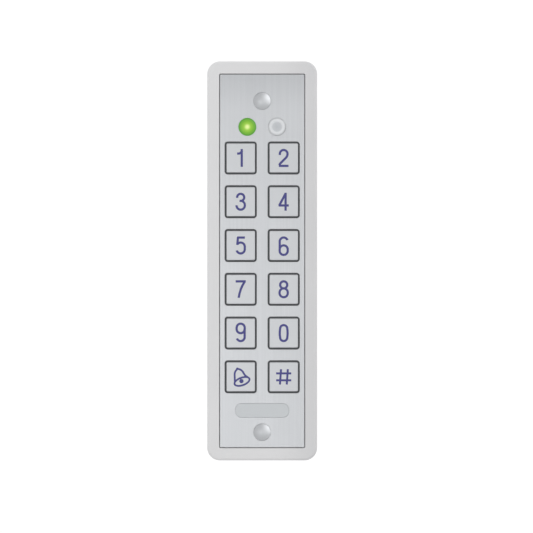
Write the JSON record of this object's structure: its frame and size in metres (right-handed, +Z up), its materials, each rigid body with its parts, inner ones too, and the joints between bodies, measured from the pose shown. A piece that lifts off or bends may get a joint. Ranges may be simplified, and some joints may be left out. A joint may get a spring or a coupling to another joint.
{
  "type": "keypad access reader",
  "caption": "Narrow upright wall reader with two columns of square metal keys, two round status lights, domed screw caps and a blank label.",
  "frame": {"origin": "middle of the flat face that goes against the wall", "axes": "+Z up the reader, -Y out of the wall towards the user, +X to the user's right"},
  "size_m": [0.043, 0.0249, 0.156],
  "materials": {
    "housing_paint": "light silver-grey paint, fine satin",
    "brushed_plate": "vertically brushed stainless steel",
    "key_metal": "satin, finely blasted",
    "cap_metal": "satin dome",
    "label_film": "flat grey printed film, blank",
    "legend_ink": "blue-violet printed ink, satin",
    "black_moulding": "black moulded plastic, satin",
    "base_moulding": "dark moulded plastic, fine spark texture",
    "silicone": "grey translucent silicone",
    "rubber": "black soft rubber",
    "tape": "white foam tape",
    "lens_green": "green lens, lit",
    "lens_clear": "frosted lens, off",
    "lamp": "white lamp body with a clear window",
    "screw_steel": "zinc-plated steel",
    "insert_brass": "turned brass",
    "board_laminate": "green solder mask",
    "chip": "black moulded package",
    "tinned": "bright tinned can",
    "coil_wire": "enamelled copper wire",
    "buzzer_plastic": "black plastic can",
    "nylon": "off-white nylon"
  },
  "bodies": {
    "reader": {"front_housing": "housing_paint", "plate_tape": "tape", "face_plate": "brushed_plate", "label_inlay": "label_film", "key_frame": "black_moulding", "key_mat": "silicone", "status_lens_left": "lens_green", "status_led_left": "lamp", "status_lens_right": "lens_clear", "status_led_right": "lamp", "screw_cap_top": "cap_metal", "security_screw_top": "screw_steel", "threaded_insert_top": "insert_brass", "screw_cap_bottom": "cap_metal", "security_screw_bottom": "screw_steel", "threaded_insert_bottom": "insert_brass", "rear_base": "base_moulding", "housing_seal": "rubber", "cable_grommet": "rubber", "circuit_board": "board_laminate", "board_screw_1": "screw_steel", "board_screw_2": "screw_steel", "board_screw_3": "screw_steel", "board_screw_4": "screw_steel", "backlight_1": "lamp", "backlight_2": "lamp", "backlight_3": "lamp", "backlight_4": "lamp", "backlight_5": "lamp", "backlight_6": "lamp", "backlight_7": "lamp", "backlight_8": "lamp", "backlight_9": "lamp", "backlight_0": "lamp", "backlight_bell": "lamp", "backlight_hash": "lamp", "processor_chip": "chip", "reader_chip": "chip", "power_regulator": "chip", "tamper_sensor": "chip", "crystal": "tinned", "filter_capacitor": "tinned", "antenna_coil": "coil_wire", "buzzer": "buzzer_plastic", "cable_header": "nylon"},
    "key_1": {"key_1": "key_metal"},
    "key_2": {"key_2": "key_metal"},
    "key_3": {"key_3": "key_metal"},
    "key_4": {"key_4": "key_metal"},
    "key_5": {"key_5": "key_metal"},
    "key_6": {"key_6": "key_metal"},
    "key_7": {"key_7": "key_metal"},
    "key_8": {"key_8": "key_metal"},
    "key_9": {"key_9": "key_metal"},
    "key_0": {"key_0": "key_metal"},
    "key_bell": {"key_bell": "key_metal"},
    "key_hash": {"key_hash": "key_metal"}
  },
  "joints": [
    {"name": "key_1_press", "type": "slide", "parent": "reader", "child": "key_1", "axis": [0, 1, 0], "range_m": [0, 0.001], "stiffness_N_per_m": 1200, "springref_m": -0.0004, "deforming": ["key_mat"]},
    {"name": "key_2_press", "type": "slide", "parent": "reader", "child": "key_2", "axis": [0, 1, 0], "range_m": [0, 0.001], "stiffness_N_per_m": 1200, "springref_m": -0.0004, "deforming": ["key_mat"]},
    {"name": "key_3_press", "type": "slide", "parent": "reader", "child": "key_3", "axis": [0, 1, 0], "range_m": [0, 0.001], "stiffness_N_per_m": 1200, "springref_m": -0.0004, "deforming": ["key_mat"]},
    {"name": "key_4_press", "type": "slide", "parent": "reader", "child": "key_4", "axis": [0, 1, 0], "range_m": [0, 0.001], "stiffness_N_per_m": 1200, "springref_m": -0.0004, "deforming": ["key_mat"]},
    {"name": "key_5_press", "type": "slide", "parent": "reader", "child": "key_5", "axis": [0, 1, 0], "range_m": [0, 0.001], "stiffness_N_per_m": 1200, "springref_m": -0.0004, "deforming": ["key_mat"]},
    {"name": "key_6_press", "type": "slide", "parent": "reader", "child": "key_6", "axis": [0, 1, 0], "range_m": [0, 0.001], "stiffness_N_per_m": 1200, "springref_m": -0.0004, "deforming": ["key_mat"]},
    {"name": "key_7_press", "type": "slide", "parent": "reader", "child": "key_7", "axis": [0, 1, 0], "range_m": [0, 0.001], "stiffness_N_per_m": 1200, "springref_m": -0.0004, "deforming": ["key_mat"]},
    {"name": "key_8_press", "type": "slide", "parent": "reader", "child": "key_8", "axis": [0, 1, 0], "range_m": [0, 0.001], "stiffness_N_per_m": 1200, "springref_m": -0.0004, "deforming": ["key_mat"]},
    {"name": "key_9_press", "type": "slide", "parent": "reader", "child": "key_9", "axis": [0, 1, 0], "range_m": [0, 0.001], "stiffness_N_per_m": 1200, "springref_m": -0.0004, "deforming": ["key_mat"]},
    {"name": "key_0_press", "type": "slide", "parent": "reader", "child": "key_0", "axis": [0, 1, 0], "range_m": [0, 0.001], "stiffness_N_per_m": 1200, "springref_m": -0.0004, "deforming": ["key_mat"]},
    {"name": "key_bell_press", "type": "slide", "parent": "reader", "child": "key_bell", "axis": [0, 1, 0], "range_m": [0, 0.001], "stiffness_N_per_m": 1200, "springref_m": -0.0004, "deforming": ["key_mat"]},
    {"name": "key_hash_press", "type": "slide", "parent": "reader", "child": "key_hash", "axis": [0, 1, 0], "range_m": [0, 0.001], "stiffness_N_per_m": 1200, "springref_m": -0.0004, "deforming": ["key_mat"]}
  ]
}
